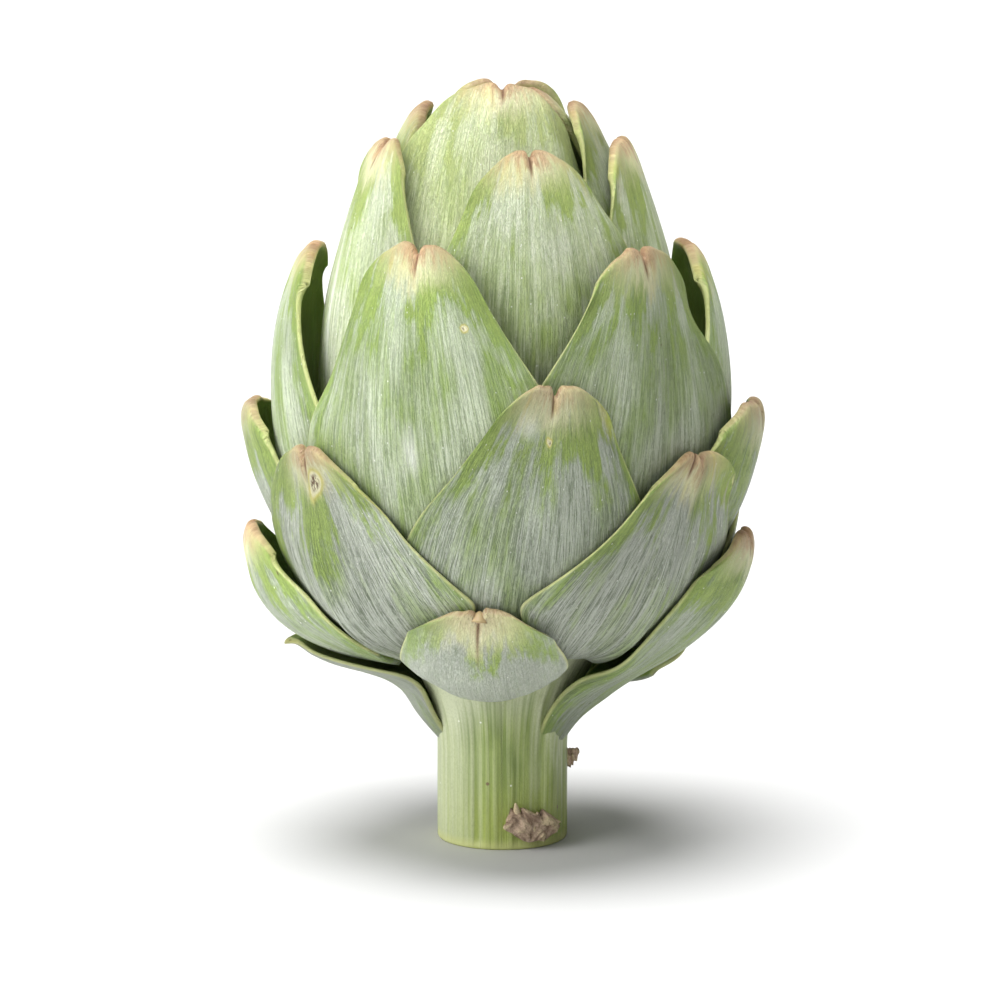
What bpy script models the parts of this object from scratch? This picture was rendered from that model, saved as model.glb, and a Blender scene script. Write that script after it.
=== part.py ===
"""A globe artichoke standing on its cut stem, built as the plant is: a stem that widens into
the heart, a closed inner bud, and overlapping bracts laid on from the inside out.

Units are metres, +Z is up, and the origin is the middle of the stem's cut face. Azimuths are
in degrees about +Z, from the front (-Y) towards +X. Sizes in the tables are millimetres.
"""

from collections import namedtuple

import bmesh
import bpy
import numpy as np

MM = 0.001

# ---------------------------------------------------------------- driving dimensions, in mm
STEM_RADIUS = 11.4
STEM_TOP = 16.0          # height where the stem starts to widen into the heart
HEART_RADIUS = 21.0
HEART_HEIGHT = 39.0      # height of the heart's widest ring
HEART_TOP = 46.0
BUD_TOP = 131.0
HEAD_CENTRE = 62.0       # height of the point that the bracts are pressed out from
RAY_DROP = 0.8           # how far the rays below it drop for each millimetre outwards
GAP = 0.55               # air left between neighbouring pieces
RIM = 0.4                # a blade's thickness at its edge, as a share of that at its midrib

STEM_SIDES = 28
STEM_RIBS = 7
STEM_RIB_DEPTH = 0.35
BUD_SIDES = 18

# The stub of a leaf on the stem: (how far out, height, half width, half height) of its rings.
STUB_AZIMUTH = 96
STUB_SIDES = 8
STUB_RINGS = ((12.3, 12.4, 1.3, 2.0), (12.9, 12.7, 1.1, 1.6), (13.5, 13.2, 0.7, 1.0),
              (14.0, 13.5, 0.4, 0.45))

# ---------------------------------------------------------------- the bracts
# A family is a ring of bracts that leave the heart at one height. base, low and high are the
# (radius, height) of the midrib's start and of its two handles; the tip completes the curve.
# widths are half widths at the base, hips, shoulder and tip. cup is the radius that the blade
# is rolled to across its width, at the base, middle and tip. notch is the cleft in its tip.
Family = namedtuple("Family", "base low high widths cup thickness notch colour")
Bract = namedtuple("Bract", "name family azimuth tip bow lean")

CROWN = Family((15, 46), (26, 50), (34, 112), (9, 27, 26, 6.5), (16, 20, 12), 1.5, 1.0,
               (0.55, 0.62, 0.36))
UPPER = Family((17, 44.5), (32, 46), (36, 104), (10, 28, 30, 6.0), (18, 26, 14), 1.6, 1.0,
               (0.50, 0.58, 0.36))
SHOULDER = Family((20, 43), (37, 43), (42, 88), (12, 35, 26, 6.5), (20, 32, 18), 1.6, 1.2,
                  (0.42, 0.52, 0.30))
BELLY = Family((21, 40.5), (38, 40), (43, 62), (12, 35, 25, 6.5), (20, 34, 20), 1.6, 1.2,
               (0.42, 0.50, 0.34))
WING = Family((21, 40.5), (33, 42), (48, 70), (11, 27, 20, 6.0), (20, 19, 11), 1.6, 1.0,
              (0.38, 0.46, 0.29))
SKIRT = Family((20, 38), (33, 38.5), (41.5, 50), (12, 38, 19, 5.5), (20, 28, 15), 1.6, 1.2,
               (0.42, 0.49, 0.35))
COLLAR = Family((17, 33), (31, 33), (45, 39), (10, 26, 17, 5.0), (18, 18, 10), 1.5, 1.0,
                (0.34, 0.43, 0.27))
FOOT = Family((14.5, 30), (28, 29.5), (37, 38), (9, 20, 18, 6.0), (15, 22, 12), 1.5, 1.0,
              (0.44, 0.51, 0.36))
RUNNING = Family((12.4, 16), (12.5, 33.5), (45, 34), (6, 18, 18, 5.0), (12.4, 17, 10), 1.5, 1.0,
                 (0.40, 0.48, 0.31))
SCAR = Family((12.2, 1.6), (12.4, 4), (13, 6), (2.2, 4.6, 4.4, 1.6), (12, 11, 9), 0.9, 0.8,
              (0.47, 0.36, 0.27))
STEM_COLOUR = 0.42, 0.52, 0.27
BUD_COLOUR = 0.62, 0.70, 0.42
STUB_COLOUR = 0.36, 0.22, 0.12
ROUGHNESS = 0.5

# From the innermost to the outermost: the name, family, azimuth of the base, tip (radius,
# height), how much further out than its family's the upper handle is, and how many degrees the
# blade leans round by its tip.
BRACTS = (
    Bract("crown_bract_1", CROWN, 117, (5, 132), 0, 0),
    Bract("crown_bract_2", CROWN, -123, (5, 132), 0, 0),
    Bract("crown_bract_3", CROWN, 178, (7.5, 128.5), -1, 0),
    Bract("upper_bract_1", UPPER, -96, (12.4, 128.2), -1, 0),
    Bract("crown_bract_4", CROWN, -3, (4, 134.5), 0, 0),
    Bract("upper_bract_2", UPPER, 84, (11.6, 128.4), -1, 0),
    Bract("upper_bract_3", UPPER, -66, (19.5, 122.5), 0, -4),
    Bract("upper_bract_4", UPPER, 76, (19, 122.5), 0, 4),
    Bract("upper_bract_5", UPPER, 10, (18.5, 125), 0, 4),
    Bract("shoulder_bract_1", SHOULDER, -148, (31, 107), 1, -6),
    Bract("shoulder_bract_2", SHOULDER, 155, (31, 107), 1, 5),
    Bract("shoulder_bract_3", SHOULDER, -92, (32.5, 105.5), 4, -7),
    Bract("shoulder_bract_4", SHOULDER, 97, (32.5, 105.5), 4, 6),
    Bract("shoulder_bract_5", SHOULDER, 37, (32, 109), 0, 10),
    Bract("shoulder_bract_6", SHOULDER, -19, (30, 110.5), 1, -9),
    Bract("belly_bract_1", BELLY, 148, (41, 80), 3, 6),
    Bract("belly_bract_2", BELLY, -155, (41, 80), 3, -5),
    Bract("belly_bract_3", WING, -98, (44, 78), 0, 0),
    Bract("belly_bract_4", WING, 81, (44, 80.5), 0, -2),
    Bract("belly_bract_5", BELLY, 6, (37, 87), 1, 8),
    Bract("skirt_bract_1", SKIRT, -178, (41, 72), 2, 6),
    Bract("skirt_bract_2", SKIRT, 122, (41, 72), 2, -6),
    Bract("skirt_bract_3", SKIRT, -130, (40, 68), 1, 0),
    Bract("skirt_bract_4", SKIRT, -47, (38.5, 74), 0, -11),
    Bract("skirt_bract_5", SKIRT, 45, (38, 73), -1, 13),
    Bract("collar_bract_1", COLLAR, 150, (42, 56), 0, 4),
    Bract("collar_bract_2", COLLAR, -150, (42, 56), 0, -4),
    Bract("collar_bract_3", COLLAR, -90, (44, 57), 0, 0),
    Bract("collar_bract_4", RUNNING, 76, (43, 57.5), 1, 4),
    Bract("foot_bract_1", FOOT, -7.5, (38.5, 50), 0, 2),
    Bract("foot_bract_2", RUNNING, -108, (38.5, 41), -8, 0),
    Bract("foot_bract_3", FOOT, 125, (36, 44), 0, 0),
    Bract("foot_bract_4", FOOT, -170, (36, 44), 0, 0),
    Bract("dry_scale", SCAR, 30, (13.6, 8.2), 0, -6),
)
COLUMNS, ROWS = 7, 10    # the points across and along a bract


# ---------------------------------------------------------------- curves and directions
def bernstein(values, t):
    """A smooth curve led by three or four values: the Bezier polynomial of that degree."""
    t = np.asarray(t, float)[..., None]
    points = [np.asarray(value, float) for value in values]
    if len(points) == 3:
        weights = (1 - t) ** 2, 2 * t * (1 - t), t**2
    else:
        weights = (1 - t) ** 3, 3 * t * (1 - t) ** 2, 3 * t**2 * (1 - t), t**3
    total = sum(weight * point for weight, point in zip(weights, points))
    return total[..., 0] if points[0].ndim == 0 else total


def even_steps(controls, shares):
    """The Bezier parameters at which these shares of the curve's length have gone by."""
    fine = np.linspace(0, 1, 201)
    steps = np.linalg.norm(np.diff(bernstein(controls, fine), axis=0), axis=1)
    gone = np.concatenate([[0], np.cumsum(steps)])
    return np.interp(shares, gone / gone[-1], fine)


def bearings(azimuth):
    """The level unit vectors that point outwards and to the right at each azimuth."""
    turn = np.radians(azimuth)
    flat = np.zeros_like(turn)
    return (np.stack([np.sin(turn), -np.cos(turn), flat], axis=-1),
            np.stack([np.cos(turn), np.sin(turn), flat], axis=-1))


# ---------------------------------------------------------------- what has been laid so far
def rays(points):
    """The ray from the axis that each point is on: its slope number, length and direction.

    Above the lowest ray of the head's centre the rays fan out from that centre. Below it they
    stay parallel and start from the axis further down, so that leaf bases stack up sideways.
    """
    radius = np.hypot(points[..., 0], points[..., 1])
    height = points[..., 2] - HEAD_CENTRE
    drop = np.minimum(height + RAY_DROP * radius, 0)
    slope = np.degrees(np.arctan2(radius, height - drop)) - drop
    away = points - np.stack([0 * drop, 0 * drop, HEAD_CENTRE + drop], axis=-1)
    distance = np.linalg.norm(away, axis=-1)
    return slope, distance, away / distance[..., None]


class Reach:
    """How far out everything laid so far reaches along every ray.

    The rays are the cells of a flat disc: the crown is in its middle and the stem at its rim.
    """

    CELLS_PER_DEGREE = 2
    HALF = 420

    def __init__(self):
        self.far = np.zeros((2 * self.HALF + 1, 2 * self.HALF + 1))

    def cells(self, points):
        slope, distance, _ = rays(points)
        turn = np.arctan2(points[..., 1], points[..., 0])
        column = np.rint(slope * np.cos(turn) * self.CELLS_PER_DEGREE).astype(int) + self.HALF
        row = np.rint(slope * np.sin(turn) * self.CELLS_PER_DEGREE).astype(int) + self.HALF
        return column, row, distance

    def add(self, points):
        """Records a piece's outer points, each one spread over the cells next to its own."""
        column, row, distance = self.cells(points)
        piece = np.zeros_like(self.far)
        np.maximum.at(piece, (column, row), distance)
        wide = np.pad(piece, 1)
        spread = [wide[a:a + len(piece), b:b + len(piece)] for a in range(3) for b in range(3)]
        self.far = np.maximum(self.far, np.max(spread, axis=0))

    def shortfall(self, points):
        """How much further out each point has to be to clear what is laid, with the gap."""
        column, row, distance = self.cells(points)
        return self.far[column, row] + GAP - distance


# ---------------------------------------------------------------- bract shapes
def resampled(grid, factor):
    """The grid with factor times as many points each way, between its own."""
    for axis in (0, 1):
        count = grid.shape[axis]
        places = np.linspace(0, count - 1, (count - 1) * factor + 1)
        low = np.minimum(places.astype(int), count - 2)
        share = (places - low).reshape((-1, 1, 1) if axis == 0 else (1, -1, 1))
        grid = np.take(grid, low, axis) * (1 - share) + np.take(grid, low + 1, axis) * share
    return grid


def midrib_of(bract):
    base, low, high = (np.array(point, float) for point in bract.family[:3])
    return base, low, high + np.array([bract.bow, 0]), np.array(bract.tip, float)


def blade(bract, columns=COLUMNS, rows=ROWS):
    """The inner face of a bract as a columns by rows grid of points, before it is pressed out.

    Along the blade the midrib is a Bezier curve in the plane of its azimuth. Across it the
    blade is an arc of the cup radius, square to the midrib, that bends back towards the head.
    """
    family = bract.family
    midrib = midrib_of(bract)
    across = np.linspace(-1, 1, columns)[:, None]
    along = np.linspace(0, 1, rows)[None, :]
    corner = family.widths[3] * np.abs(across) ** 2.2 + family.notch * np.exp(-((across / 0.2) ** 2))
    steps = np.diff(bernstein(midrib, np.linspace(0, 1, 100)), axis=0)
    share = along - corner / np.linalg.norm(steps, axis=1).sum() * along**5
    t = even_steps(midrib, share)
    spine = bernstein(midrib, t)
    nudge = 1e-3
    heading = bernstein(midrib, t + nudge) - bernstein(midrib, t - nudge)
    heading /= np.linalg.norm(heading, axis=-1, keepdims=True)
    out, right = bearings(bract.azimuth + bract.lean * share**2)
    up = np.array([0.0, 0.0, 1.0])
    normal = heading[..., 1:] * out - heading[..., :1] * up
    cup = bernstein(family.cup, share)
    turn = across * bernstein(family.widths, share) / cup
    return (spine[..., :1] * out + spine[..., 1:] * up
            + (cup * np.sin(turn))[..., None] * right
            - (cup * (1 - np.cos(turn)))[..., None] * normal)


def pressed_out(inner, reach, factor=8, rounds=14):
    """The inner face moved out along the rays until it just clears what it lies on.

    Each round looks at points between the grid's own. A point that is short of clearing asks
    the corners of its square for more, in proportion to how near it is to each.
    """
    columns, rows = inner.shape[:2]
    direction = rays(inner)[2]
    near = 1 - np.abs(np.arange(-factor, factor + 1)) / factor
    weight = near[:, None] * near[None, :]
    push = np.zeros((columns, rows))
    for _ in range(rounds):
        short = reach.shortfall(resampled(inner + direction * push[..., None], factor)).clip(0)
        wide = np.pad(short, factor)
        for i in range(columns):
            for j in range(rows):
                around = wide[i * factor:(i + 2) * factor + 1, j * factor:(j + 2) * factor + 1]
                push[i, j] += (around * weight).max()
    return inner + direction * push[..., None]


def outer_face(inner, middle):
    """The inner face moved along its normal by the thickness, which thins towards the rim."""
    columns, rows = inner.shape[:2]
    normal = np.cross(np.gradient(inner, axis=0), np.gradient(inner, axis=1))
    normal /= np.linalg.norm(normal, axis=-1, keepdims=True)
    across = np.linspace(-1, 1, columns)[:, None]
    along = np.linspace(0, 1, rows)[None, :]
    body = (1 - across**2) * (1 - along**4)
    thickness = middle * (RIM + (1 - RIM) * body)
    return inner + normal * thickness[..., None]


# ---------------------------------------------------------------- turned shapes
def heart_outline():
    """(radius, height) of the stem and heart, from the cut face to the top of the heart."""
    handles = (STEM_RADIUS, 27), (16, 31)
    side = bernstein(((STEM_RADIUS, STEM_TOP), *handles, (HEART_RADIUS, HEART_HEIGHT)),
                     np.linspace(0, 1, 7))
    dome = np.linspace(0, np.pi / 2, 4)[1:-1]
    top = np.stack([HEART_RADIUS * np.cos(dome),
                    HEART_HEIGHT + (HEART_TOP - HEART_HEIGHT) * np.sin(dome)], axis=1)
    foot = [(STEM_RADIUS, 0.0), (STEM_RADIUS, STEM_TOP / 2)]
    return np.vstack([foot, side, top])


def bud_outline():
    """(radius, height) of the closed inner bud, which sits just above the heart."""
    low = HEART_TOP + GAP
    handles = (25, 55), (26, 112)
    return bernstein(((15, low), *handles, (3.0, BUD_TOP)), np.linspace(0, 1, 11))


def turned(outline, sides, ribs=0, rib_depth=0.0):
    """The rings of points of an outline turned about +Z, with its ribs fading out upwards."""
    turn = np.linspace(0, 2 * np.pi, sides, endpoint=False)[None, :]
    radius, height = outline[:, :1], outline[:, 1:]
    fade = np.clip(1 - (height - STEM_TOP) / (HEART_HEIGHT - STEM_TOP), 0, 1)
    radius = radius + rib_depth * fade * np.cos(ribs * turn)
    return np.stack([radius * np.sin(turn), -radius * np.cos(turn), height + 0 * turn], axis=-1)


def stub_rings():
    """Rings of points that shrink outwards from the stem, each an ellipse facing outwards."""
    out, right = bearings(STUB_AZIMUTH)
    turn = np.linspace(0, 2 * np.pi, STUB_SIDES, endpoint=False)[:, None]
    up = np.array([0.0, 0.0, 1.0])
    return np.stack([away * out + height * up
                     + wide * np.cos(turn) * right + tall * np.sin(turn) * up
                     for away, height, wide, tall in STUB_RINGS])


# ---------------------------------------------------------------- meshes and materials
def plant_material(name, colour):
    material = bpy.data.materials.new(name)
    material.use_nodes = True
    shader = material.node_tree.nodes["Principled BSDF"]
    shader.inputs["Base Color"].default_value = (*colour, 1.0)
    shader.inputs["Roughness"].default_value = ROUGHNESS
    shader.inputs["Metallic"].default_value = 0.0
    return material


def add_solid(name, points, faces, colour):
    """A smooth-shaded object from points in millimetres and faces that point outwards."""
    shape = bmesh.new()
    corners = [shape.verts.new(point * MM) for point in points]
    for face in faces:
        shape.faces.new([corners[index] for index in face])
    bmesh.ops.recalc_face_normals(shape, faces=shape.faces)
    mesh = bpy.data.meshes.new(name)
    shape.to_mesh(mesh)
    shape.free()
    mesh.shade_smooth()
    mesh.set_sharp_from_angle(angle=np.radians(50))
    mesh.materials.append(plant_material(name, colour))
    made = bpy.data.objects.new(name, mesh)
    bpy.context.scene.collection.objects.link(made)
    return made


def add_turned(name, rings, colour):
    """A closed solid from rings of points, with a flat cap on the first and last ring."""
    count, sides = rings.shape[:2]
    faces = [(i * sides + j, i * sides + (j + 1) % sides,
              (i + 1) * sides + (j + 1) % sides, (i + 1) * sides + j)
             for i in range(count - 1) for j in range(sides)]
    faces.append(tuple(range(sides)))
    faces.append(tuple(range((count - 1) * sides, count * sides)))
    return add_solid(name, rings.reshape(-1, 3), faces, colour)


def add_bract(name, inner, outer, colour):
    """A closed shell between two grids of points, with a strip round the rim."""
    columns, rows = inner.shape[:2]
    index = np.arange(columns * rows).reshape(columns, rows)
    below = columns * rows
    faces = []
    for i in range(columns - 1):
        for j in range(rows - 1):
            square = index[i, j], index[i + 1, j], index[i + 1, j + 1], index[i, j + 1]
            faces.append(square)
            faces.append(tuple(corner + below for corner in reversed(square)))
    rim = np.concatenate([index[:-1, 0], index[-1, :-1], index[:0:-1, -1], index[0, :0:-1]])
    for start, end in zip(rim, np.roll(rim, -1)):
        faces.append((end, start, start + below, end + below))
    points = np.concatenate([inner.reshape(-1, 3), outer.reshape(-1, 3)])
    return add_solid(name, points, faces, colour)


def main():
    for old in list(bpy.data.objects):
        bpy.data.objects.remove(old)
    stem = turned(heart_outline(), STEM_SIDES, STEM_RIBS, STEM_RIB_DEPTH)
    bud = turned(bud_outline(), BUD_SIDES)
    add_turned("stem_and_heart", stem, STEM_COLOUR)
    add_turned("inner_bud", bud, BUD_COLOUR)

    reach = Reach()
    for rings in (stem, bud):
        reach.add(resampled(np.concatenate([rings, rings[:, :1]], axis=1), 12))
    for bract in BRACTS:
        inner = pressed_out(blade(bract), reach)
        outer = outer_face(inner, bract.family.thickness)
        add_bract(bract.name, inner, outer, bract.family.colour)
        reach.add(resampled(outer, 24))
    add_turned("leaf_stub", stub_rings(), STUB_COLOUR)


main()
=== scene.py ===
# %% [markdown]
# # A globe artichoke, leaf by leaf
# An artichoke is the closed flower bud of a thistle. It is a fleshy stem that widens into the
# heart, and round the heart sit rings of thick leaves called bracts, each ring pressed against
# the one inside it. This lesson builds it in the same order as the plant does: stem, inner bud,
# then every leaf from the inside out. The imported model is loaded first, because it fixes where
# every piece is and how big it is.

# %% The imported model
from collections import namedtuple
from functools import reduce

import bpy
import numpy as np
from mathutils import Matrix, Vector


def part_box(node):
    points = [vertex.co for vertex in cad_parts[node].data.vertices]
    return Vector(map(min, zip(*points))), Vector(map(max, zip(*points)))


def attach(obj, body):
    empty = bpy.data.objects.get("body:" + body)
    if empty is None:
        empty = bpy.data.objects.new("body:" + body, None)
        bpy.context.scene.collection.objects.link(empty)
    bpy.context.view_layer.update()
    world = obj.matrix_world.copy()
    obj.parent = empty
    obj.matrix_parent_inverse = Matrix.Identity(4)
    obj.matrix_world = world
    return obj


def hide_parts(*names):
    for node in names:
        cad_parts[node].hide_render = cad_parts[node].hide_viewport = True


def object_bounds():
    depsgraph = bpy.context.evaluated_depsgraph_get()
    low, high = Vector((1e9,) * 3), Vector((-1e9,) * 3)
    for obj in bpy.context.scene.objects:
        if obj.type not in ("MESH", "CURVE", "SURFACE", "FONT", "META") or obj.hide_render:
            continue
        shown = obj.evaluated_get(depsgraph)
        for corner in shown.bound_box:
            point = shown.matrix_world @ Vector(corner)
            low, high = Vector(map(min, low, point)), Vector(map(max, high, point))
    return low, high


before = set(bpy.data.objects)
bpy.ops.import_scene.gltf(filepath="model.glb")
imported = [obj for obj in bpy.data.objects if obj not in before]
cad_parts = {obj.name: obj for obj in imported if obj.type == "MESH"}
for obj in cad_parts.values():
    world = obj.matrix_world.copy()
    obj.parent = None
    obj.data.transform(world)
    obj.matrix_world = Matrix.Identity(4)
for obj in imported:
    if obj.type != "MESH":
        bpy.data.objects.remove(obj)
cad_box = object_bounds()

MM = 0.001
print("nodes in the packed model:", len(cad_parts))
print("its size in mm:", [round(side / MM, 1) for side in cad_box[1] - cad_box[0]])

# %% [markdown]
# ## The measures
# All lengths below are in millimetres, and azimuths are degrees about the upright axis, from the
# front towards the right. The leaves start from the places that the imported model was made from,
# apart from one low leaf on the left. Their widths were drawn again for the visible skin, so a
# leaf can be some millimetres wider or narrower than its plain solid.

# %% The stem, the heart and the bud
STEM_RADIUS = 11.4
STEM_TOP = 16.0          # where the stem starts to widen into the heart
HEART_RADIUS = 21.0
HEART_HEIGHT = 39.0      # the heart's widest ring
HEART_TOP = 46.0
BUD_TOP = 131.0
HEAD_CENTRE = 62.0       # the point that the leaves are pressed out from
RAY_DROP = 0.8           # how far the rays below it drop for each millimetre outwards
GAP = 0.35               # air between a leaf and what it lies on
RIM = 0.55               # a leaf's thickness at its edge, as a share of that at its midrib

# %% [markdown]
# ## The families of leaves
# Leaves of one ring leave the heart at the same height and have the same shape, so they share
# one row of numbers. base, low and high are the (radius, height) of the midrib's start and of
# its two handles. widths are half widths at the base, hips, shoulder and tip. cup is how tightly
# the leaf is rolled across, at its base, middle and tip. notch is the cleft in its tip. CREST is
# the wider crown leaf in front, WING leaves stand at the sides, RUNNING ones run down the stem.

# %% The families
Family = namedtuple("Family", "base low high widths cup thickness notch")
CROWN = Family((15, 46), (26, 50), (34, 112), (9, 31, 24, 4.8), (16, 20, 12), 1.5, 1.0)
CREST = CROWN._replace(widths=(9, 32, 27, 7.0), cup=(16, 20, 14))
UPPER = Family((17, 44.5), (32, 46), (36, 104), (10, 31, 25.5, 5.6), (18, 26, 14), 1.6, 1.3)
SHOULDER = Family((20, 43), (37, 43), (42, 88), (12, 41, 20, 7.0), (20, 32, 18), 1.6, 1.6)
BELLY = Family((21, 40.5), (38, 40), (43, 62), (12, 38, 16.5, 5.4), (20, 34, 20), 1.6, 1.6)
WING = Family((21, 40.5), (33, 42), (48, 70), (11, 27, 20, 7.0), (20, 19, 11), 1.6, 1.4)
SKIRT = Family((20, 38), (33, 38.5), (41.5, 50), (12, 38, 19, 6.2), (20, 28, 15), 1.6, 1.8)
COLLAR = Family((17, 33), (31, 33), (45, 39), (10, 26, 17, 6.4), (18, 18, 10), 1.5, 1.2)
FOOT = Family((14.5, 30), (28, 29.5), (37, 38), (9, 19, 17, 7.4), (15, 22, 12), 1.5, 1.4)
RUNNING = Family((12.4, 16), (12.5, 33.5), (45, 34), (4.5, 18, 18, 6.2), (12.4, 17, 10), 1.5, 1.2)

# %% [markdown]
# ## One row for each leaf
# From the innermost to the outermost: name, family, azimuth of the base, tip (radius, height),
# how much further out than its family's the upper handle is, and how many degrees the leaf
# leans round by its tip. No two leaves of a real head are the same, and it is these few numbers
# that place each one.

# %% The leaves
Bract = namedtuple("Bract", "name family azimuth tip bow lean")
BRACTS = (
    Bract("crown_bract_1", CROWN, 117, (5, 132), 0, 0),
    Bract("crown_bract_2", CROWN, -123, (5, 132), 0, 0),
    Bract("crown_bract_3", CROWN, 178, (7.5, 128.5), -1, 0),
    Bract("upper_bract_1", UPPER, -96, (12.4, 128.2), -1, 0),
    Bract("crown_bract_4", CREST, -3, (4, 134.5), 0, 0),
    Bract("upper_bract_2", UPPER, 84, (11.6, 128.4), -1, 0),
    Bract("upper_bract_3", UPPER, -66, (19.5, 122.5), 0, -4),
    Bract("upper_bract_4", UPPER, 76, (19, 122.5), 0, 4),
    Bract("upper_bract_5", UPPER, 10, (18.5, 125), 0, 4),
    Bract("shoulder_bract_1", SHOULDER, -148, (31, 107), 1, -6),
    Bract("shoulder_bract_2", SHOULDER, 155, (31, 107), 1, 5),
    Bract("shoulder_bract_3", SHOULDER, -92, (32.5, 105.5), 4, -7),
    Bract("shoulder_bract_4", SHOULDER, 97, (32.5, 105.5), 4, 6),
    Bract("shoulder_bract_5", SHOULDER, 37, (32, 109), 0, 10),
    Bract("shoulder_bract_6", SHOULDER, -19, (30, 110.5), 1, -9),
    Bract("belly_bract_1", BELLY, 148, (41, 80), 3, 6),
    Bract("belly_bract_2", BELLY, -155, (41, 80), 3, -5),
    Bract("belly_bract_3", WING, -98, (44, 78), 0, 0),
    Bract("belly_bract_4", WING, 81, (44, 80.5), 0, -2),
    Bract("belly_bract_5", BELLY, 6, (37, 87), 1, 8),
    Bract("skirt_bract_1", SKIRT, -178, (41, 72), 2, 6),
    Bract("skirt_bract_2", SKIRT, 122, (41, 72), 2, -6),
    Bract("skirt_bract_3", SKIRT, -130, (40, 68), 1, 0),
    Bract("skirt_bract_4", SKIRT, -47, (38.5, 74), 0, -11),
    Bract("skirt_bract_5", SKIRT, 45, (38, 73), -1, 13),
    Bract("collar_bract_1", COLLAR, 150, (42, 56), 0, 4),
    Bract("collar_bract_2", COLLAR, -150, (42, 56), 0, -4),
    Bract("collar_bract_3", COLLAR, -90, (44, 57), 0, 0),
    Bract("collar_bract_4", RUNNING, 76, (43, 57.5), 1, 4),
    Bract("foot_bract_1", FOOT, -7.5, (38.5, 50), 0, 2),
    Bract("foot_bract_2", RUNNING, -108, (34, 37), -8, -4),
    Bract("foot_bract_3", FOOT, 125, (36, 44), 0, 0),
    Bract("foot_bract_4", FOOT, -170, (36, 44), 0, 0),
)
print("leaves:", len(BRACTS))

# %% [markdown]
# ## Curves
# A leaf is led by curves, and many things on it swell and fade like a bell. A midrib could be
# drawn as a Bezier curve object and sampled. Working it out with numpy keeps every leaf a plain
# function of its row of numbers, and a whole grid of points comes out of one call.

# %% A Bezier curve, its even steps, and level directions
def bernstein(values, t):
    """A smooth curve led by three or four values: the Bezier polynomial of that degree."""
    t = np.asarray(t, float)[..., None]
    points = [np.asarray(value, float) for value in values]
    if len(points) == 3:
        weights = (1 - t) ** 2, 2 * t * (1 - t), t**2
    else:
        weights = (1 - t) ** 3, 3 * t * (1 - t) ** 2, 3 * t**2 * (1 - t), t**3
    total = sum(weight * point for weight, point in zip(weights, points))
    return total[..., 0] if points[0].ndim == 0 else total


def even_steps(controls, shares):
    """The Bezier parameters at which these shares of the curve's length have gone by."""
    fine = np.linspace(0, 1, 401)
    steps = np.linalg.norm(np.diff(bernstein(controls, fine), axis=0), axis=1)
    gone = np.concatenate([[0], np.cumsum(steps)])
    return np.interp(shares, gone / gone[-1], fine)


def length_of(controls):
    """The length of a Bezier curve: the sum of many short steps along it."""
    steps = np.diff(bernstein(controls, np.linspace(0, 1, 200)), axis=0)
    return np.linalg.norm(steps, axis=1).sum()


def bump(value, width):
    """A bell curve: 1 where the value is 0, and about a third of that one width away."""
    return np.exp(-((value / width) ** 2))


def bearings(azimuth):
    """The level unit vectors that point outwards and to the right at each azimuth."""
    turn = np.radians(azimuth)
    flat = np.zeros_like(turn)
    return (np.stack([np.sin(turn), -np.cos(turn), flat], axis=-1),
            np.stack([np.cos(turn), np.sin(turn), flat], axis=-1))


# %% [markdown]
# ## Smooth unevenness
# Nothing on a plant is exactly even. Blender's Displace modifier with a noise texture would
# roughen a leaf the same way in every direction. A leaf's ribs run lengthwise, so its
# unevenness is a sheet of a few random heights, many across and few along, joined by a smooth
# spline. The same splines carry the push that keeps leaves apart.

# %% Splines across and along a leaf
def spline_weights(places, count):
    """How much each of count evenly spaced knots counts at places from 0 to 1.

    The cubic B-spline: a bump four knots wide, two thirds high, scaled so each row adds to 1.
    """
    apart = np.abs(np.asarray(places)[:, None] * (count - 1) - np.arange(count))
    near = 2 / 3 - apart**2 + apart**3 / 2
    far = (2 - apart) ** 3 / 6
    weights = np.where(apart < 1, near, np.where(apart < 2, far, 0))
    return weights / weights.sum(axis=1, keepdims=True)


def uneven(rng, across, along, knots_across, knots_along, height):
    """A smooth random sheet: random heights at the knots, joined by splines both ways."""
    knots = rng.normal(0, height, (knots_across, knots_along))
    return (spline_weights(across / 2 + 0.5, knots_across) @ knots
            @ spline_weights(along, knots_along).T)


# %% [markdown]
# ## The blade of a leaf
# A bract is a shallow spoon: it leaves the heart sideways, turns up, and curls over the bud. It
# could be sculpted, or bent from a plane with modifiers. Here it is one formula of two numbers,
# across from -1 to 1 and along from 0 to 1, so the points can be as dense as wanted, and they
# crowd towards the edges, where the roundness of the rim needs them.

# %% Where the points of a leaf are
COLUMNS, ROWS = 65, 101
EDGE_CROWDING = 0.8      # 0 would space the points evenly
TIP_CROWDING = 0.72
CORNER_POWER = 2.6
TIP_CAP = 5.5            # how far back the tip's corners are
BASE_CAP = 3.0
END_POWER = 5            # how soon the pull on an end's corners fades along the leaf
TIP_ROLL = 1.5           # how far in the tip curls, over the last ROLL_LENGTH
ROLL_LENGTH = 6.0
NOTCH_WIDTH = 0.085      # the cleft's, as a share of the half width
SADDLE_DEPTH = 0.45      # the broad dip between the two lobes of the tip
SADDLE_WIDTH = 0.35
side_steps = np.linspace(-1, 1, COLUMNS)
tip_steps = np.linspace(0, 1, ROWS)
ACROSS = (1 - EDGE_CROWDING) * side_steps + EDGE_CROWDING * np.sin(np.pi / 2 * side_steps)
ALONG = (1 - TIP_CROWDING) * tip_steps + TIP_CROWDING * np.sin(np.pi / 2 * tip_steps)


def midrib_of(bract):
    """The four (radius, height) points that lead a leaf's midrib."""
    base, low, high = (np.array(point, float) for point in bract.family[:3])
    return base, low, high + np.array([bract.bow, 0]), np.array(bract.tip, float)


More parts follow.
